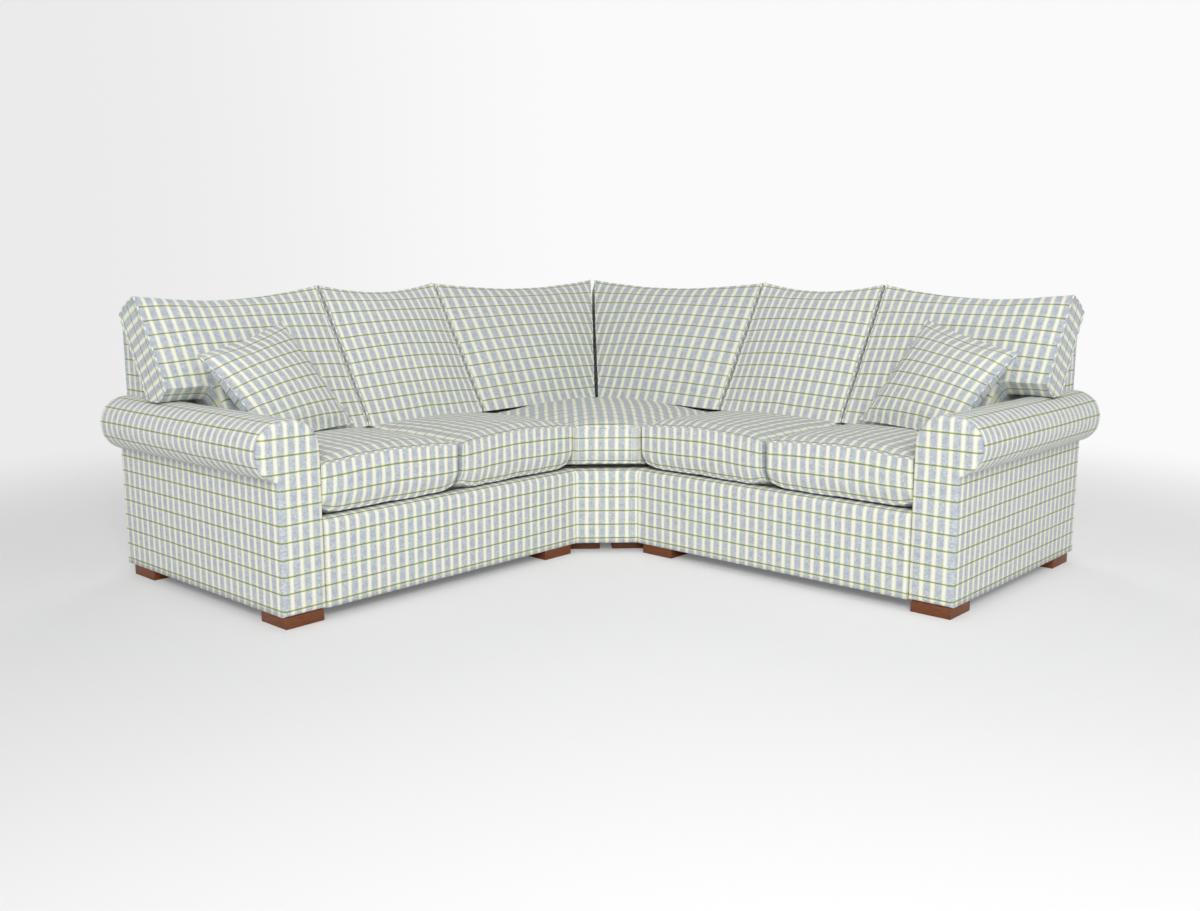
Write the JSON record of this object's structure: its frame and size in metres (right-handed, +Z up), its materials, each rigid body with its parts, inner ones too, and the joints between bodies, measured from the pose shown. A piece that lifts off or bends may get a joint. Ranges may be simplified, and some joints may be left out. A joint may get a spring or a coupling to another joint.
{
  "type": "corner sofa",
  "caption": "Upholstered corner sofa with equal wings, rolled arms, a chamfered corner seat, loose seat, back and scatter cushions and low block feet.",
  "frame": {"origin": "on the floor, in the middle of the square that the sofa's bounding box fills", "axes": "+Z up; -X is the outside back of the left wing and +Y the outside back of the right wing, as seen from the room, so the left wing's seat faces +X and the right wing's seat faces -Y"},
  "size_m": [2.467, 2.467, 0.9896],
  "materials": {
    "plaid_cloth": "woven plaid, pale blue-grey with cream stripes and thin olive lines",
    "foot_wood": "red-brown stained satin",
    "frame_timber": "sawn softwood",
    "webbing": "woven elastic strap",
    "deck_cloth": "plain cotton over felt",
    "dust_cloth": "black non-woven cloth",
    "steel": "zinc plated"
  },
  "bodies": {
    "sofa": {"left_foot_front_outer": "foot_wood", "left_foot_front_inner": "foot_wood", "left_foot_back_outer": "foot_wood", "left_foot_back_inner": "foot_wood", "left_seat_frame": "frame_timber", "left_seat_webbing": "webbing", "left_seat_deck": "deck_cloth", "left_front_rail_cover": "plaid_cloth", "left_arm_cover": "plaid_cloth", "left_arm_front_facing": "plaid_cloth", "left_arm_frame": "frame_timber", "left_back_cover": "plaid_cloth", "left_outside_back_cover": "plaid_cloth", "left_back_frame": "frame_timber", "left_dust_cover": "dust_cloth", "right_foot_front_outer": "foot_wood", "right_foot_front_inner": "foot_wood", "right_foot_back_outer": "foot_wood", "right_foot_back_inner": "foot_wood", "right_seat_frame": "frame_timber", "right_seat_webbing": "webbing", "right_seat_deck": "deck_cloth", "right_front_rail_cover": "plaid_cloth", "right_arm_cover": "plaid_cloth", "right_arm_front_facing": "plaid_cloth", "right_arm_frame": "frame_timber", "right_back_cover": "plaid_cloth", "right_outside_back_cover": "plaid_cloth", "right_back_frame": "frame_timber", "right_dust_cover": "dust_cloth", "corner_foot_front_left": "foot_wood", "corner_foot_front_right": "foot_wood", "corner_foot_back": "foot_wood", "corner_seat_frame": "frame_timber", "corner_seat_webbing": "webbing", "corner_seat_deck": "deck_cloth", "corner_dust_cover": "dust_cloth", "corner_front_cover": "plaid_cloth", "corner_back_cover_left": "plaid_cloth", "corner_outside_back_left": "plaid_cloth", "corner_back_cover_right": "plaid_cloth", "corner_outside_back_right": "plaid_cloth", "corner_back_frame": "frame_timber", "corner_seat_cushion": "plaid_cloth", "foot_bolts": "steel", "unit_bolts": "steel"},
    "left_seat_cushion_inner": {"left_seat_cushion_inner": "plaid_cloth"},
    "left_seat_cushion_outer": {"left_seat_cushion_outer": "plaid_cloth"},
    "right_seat_cushion_inner": {"right_seat_cushion_inner": "plaid_cloth"},
    "right_seat_cushion_outer": {"right_seat_cushion_outer": "plaid_cloth"},
    "left_back_cushion_inner": {"left_back_cushion_inner": "plaid_cloth"},
    "left_back_cushion_outer": {"left_back_cushion_outer": "plaid_cloth"},
    "right_back_cushion_inner": {"right_back_cushion_inner": "plaid_cloth"},
    "right_back_cushion_outer": {"right_back_cushion_outer": "plaid_cloth"},
    "corner_back_cushion_left": {"corner_back_cushion_left": "plaid_cloth"},
    "corner_back_cushion_right": {"corner_back_cushion_right": "plaid_cloth"},
    "left_scatter_cushion": {"left_scatter_cushion": "plaid_cloth"},
    "right_scatter_cushion": {"right_scatter_cushion": "plaid_cloth"}
  },
  "joints": [
    {"name": "left_seat_cushion_inner_draw", "type": "slide", "parent": "sofa", "child": "left_seat_cushion_inner", "axis": [1, 0, 0], "range_m": [0, 0.15]},
    {"name": "left_seat_cushion_outer_draw", "type": "slide", "parent": "sofa", "child": "left_seat_cushion_outer", "axis": [1, 0, 0], "range_m": [0, 0.56]},
    {"name": "right_seat_cushion_inner_draw", "type": "slide", "parent": "sofa", "child": "right_seat_cushion_inner", "axis": [0, -1, 0], "range_m": [0, 0.15]},
    {"name": "right_seat_cushion_outer_draw", "type": "slide", "parent": "sofa", "child": "right_seat_cushion_outer", "axis": [0, -1, 0], "range_m": [0, 0.56]},
    {"name": "left_back_cushion_inner_lift", "type": "slide", "parent": "sofa", "child": "left_back_cushion_inner", "axis": [-0.5, 0, 0.866], "range_m": [0, 0.45]},
    {"name": "left_back_cushion_outer_lift", "type": "slide", "parent": "sofa", "child": "left_back_cushion_outer", "axis": [-0.5, 0, 0.866], "range_m": [0, 0.45]},
    {"name": "right_back_cushion_inner_lift", "type": "slide", "parent": "sofa", "child": "right_back_cushion_inner", "axis": [0, 0.5, 0.866], "range_m": [0, 0.45]},
    {"name": "right_back_cushion_outer_lift", "type": "slide", "parent": "sofa", "child": "right_back_cushion_outer", "axis": [0, 0.5, 0.866], "range_m": [0, 0.45]},
    {"name": "corner_back_cushion_left_lift", "type": "slide", "parent": "sofa", "child": "corner_back_cushion_left", "axis": [-0.5, 0, 0.866], "range_m": [0, 0.45]},
    {"name": "corner_back_cushion_right_lift", "type": "slide", "parent": "sofa", "child": "corner_back_cushion_right", "axis": [0, 0.5, 0.866], "range_m": [0, 0.45]},
    {"name": "left_scatter_cushion_lift", "type": "slide", "parent": "sofa", "child": "left_scatter_cushion", "axis": [0, 0, 1], "range_m": [0, 0.4]},
    {"name": "right_scatter_cushion_lift", "type": "slide", "parent": "sofa", "child": "right_scatter_cushion", "axis": [0, 0, 1], "range_m": [0, 0.4]}
  ]
}
